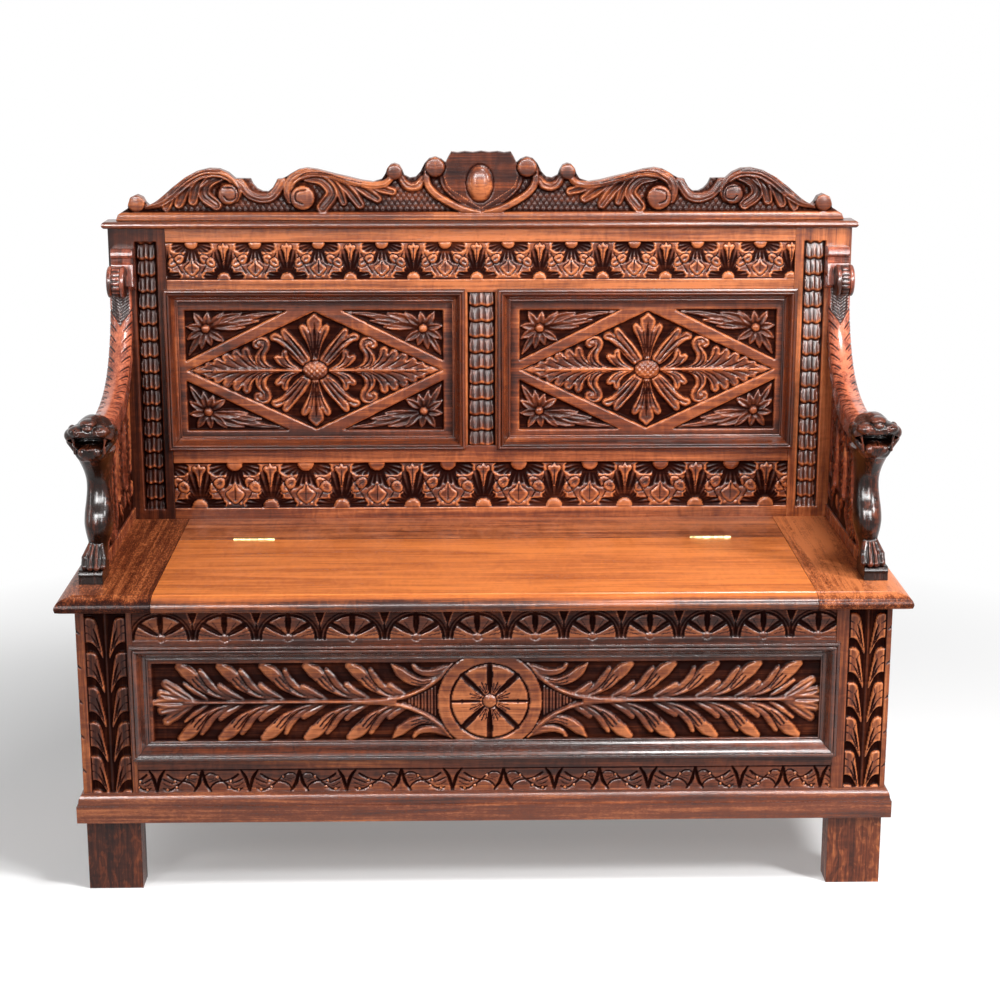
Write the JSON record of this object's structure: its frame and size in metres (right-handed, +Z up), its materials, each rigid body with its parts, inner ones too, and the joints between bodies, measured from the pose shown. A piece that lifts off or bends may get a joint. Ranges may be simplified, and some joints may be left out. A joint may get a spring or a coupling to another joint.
{
  "type": "settle bench",
  "caption": "Carved oak settle with a panelled back, scrolled crest, lion-headed arms and a hinged seat lid over a storage chest.",
  "frame": {"origin": "on the floor, at the middle of the outer width and depth", "axes": "+X to the right as seen from the front, +Y to the back, +Z up"},
  "size_m": [1.334, 0.533, 1.1384],
  "materials": {
    "carved_oak": "french polished, dark in the recesses",
    "dark_oak": "dark stained and polished",
    "seat_oak": "polished, orange brown",
    "plain_oak": "plain, unpolished",
    "brass": "aged, dull"
  },
  "bodies": {
    "bench": {"arm_infill_left": "dark_oak", "arm_infill_right": "dark_oak", "arm_left": "dark_oak", "arm_leg_left": "dark_oak", "arm_leg_right": "dark_oak", "arm_right": "dark_oak", "back_moulding_l_bottom": "dark_oak", "back_moulding_l_left": "dark_oak", "back_moulding_l_right": "dark_oak", "back_moulding_l_top": "dark_oak", "back_moulding_r_bottom": "dark_oak", "back_moulding_r_left": "dark_oak", "back_moulding_r_right": "dark_oak", "back_moulding_r_top": "dark_oak", "back_muntin": "carved_oak", "back_panel_left": "carved_oak", "back_panel_right": "carved_oak", "back_post_left": "carved_oak", "back_post_right": "carved_oak", "back_seat_rail": "carved_oak", "back_top_rail": "carved_oak", "chest_back": "plain_oak", "chest_floor": "plain_oak", "cornice": "dark_oak", "crest": "carved_oak", "foot_front_left": "dark_oak", "foot_front_right": "dark_oak", "foot_rear_left": "dark_oak", "foot_rear_right": "dark_oak", "front_bottom_rail": "carved_oak", "front_moulding_bottom": "dark_oak", "front_moulding_left": "dark_oak", "front_moulding_right": "dark_oak", "front_moulding_top": "dark_oak", "front_panel": "carved_oak", "front_post_left": "carved_oak", "front_post_right": "carved_oak", "front_top_rail": "carved_oak", "hinge_pin_left": "brass", "hinge_pin_right": "brass", "hinge_rail_leaf_left": "brass", "hinge_rail_leaf_right": "brass", "plinth_front": "carved_oak", "plinth_left": "carved_oak", "plinth_right": "carved_oak", "seat_end_left": "seat_oak", "seat_end_right": "seat_oak", "seat_rear_rail": "seat_oak", "side_bottom_rail_left": "carved_oak", "side_bottom_rail_right": "carved_oak", "side_panel_left": "carved_oak", "side_panel_right": "carved_oak", "side_top_rail_left": "carved_oak", "side_top_rail_right": "carved_oak"},
    "lid": {"hinge_lid_leaf_left": "brass", "hinge_lid_leaf_right": "brass", "lid_batten_left": "plain_oak", "lid_batten_right": "plain_oak", "seat_lid": "seat_oak"}
  },
  "joints": [
    {"name": "lid_hinge", "type": "hinge", "parent": "bench", "child": "lid", "pos_m": [0, 0.0845, 0.495], "axis": [-1, 0, 0], "range_deg": [0, 110]}
  ]
}
